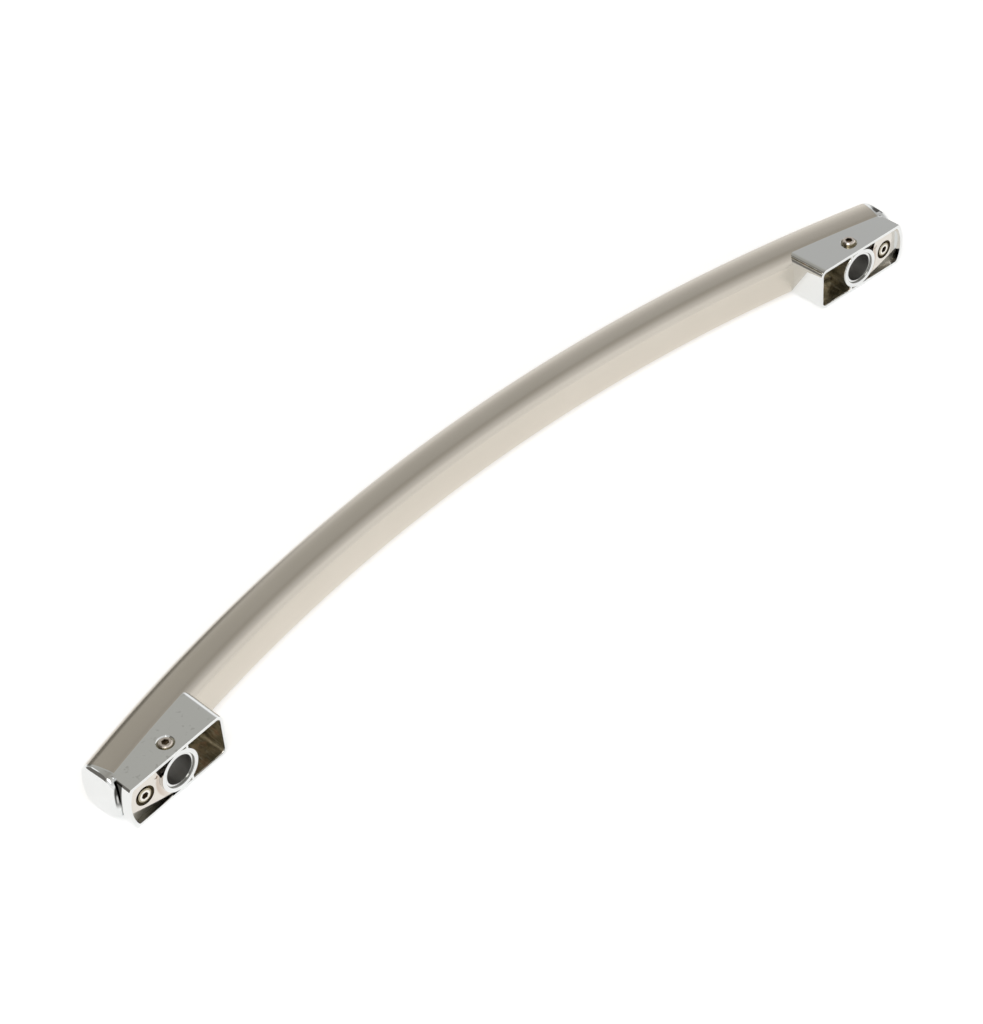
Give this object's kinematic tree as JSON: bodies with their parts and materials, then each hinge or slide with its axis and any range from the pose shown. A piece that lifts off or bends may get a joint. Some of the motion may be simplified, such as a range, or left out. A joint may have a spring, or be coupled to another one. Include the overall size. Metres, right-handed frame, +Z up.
{
  "type": "refrigerator door handle",
  "caption": "Bowed tubular refrigerator door handle with polished end brackets that slip over door studs and lock with set screws in their sides.",
  "frame": {"origin": "under the middle of the handle's box, where the handle lies on its side", "axes": "+X along the handle towards the right bracket, -Y towards the door, +Z up through the side that holds the set screws"},
  "size_m": [0.4776, 0.0628, 0.0247],
  "materials": {
    "satin_bar": "satin, brushed along the length",
    "chrome_casting": "polished chrome plate on a die casting",
    "screw_steel": "plain bright steel",
    "anchor_steel": "plain steel, hidden inside the bar"
  },
  "bodies": {
    "handle": {"grip_bar": "satin_bar", "end_bracket_left": "chrome_casting", "end_bracket_right": "chrome_casting", "bar_screw_left": "screw_steel", "bar_screw_right": "screw_steel", "bar_anchor_left": "anchor_steel", "bar_anchor_right": "anchor_steel"},
    "left_set_screw": {"set_screw_left": "screw_steel"},
    "right_set_screw": {"set_screw_right": "screw_steel"}
  },
  "joints": [
    {"name": "set_screw_left_slide", "type": "slide", "parent": "handle", "child": "left_set_screw", "axis": [0, 0, 1], "range_m": [-0.0035, 0.0015]},
    {"name": "set_screw_right_slide", "type": "slide", "parent": "handle", "child": "right_set_screw", "axis": [0, 0, 1], "range_m": [-0.0035, 0.0015]}
  ]
}
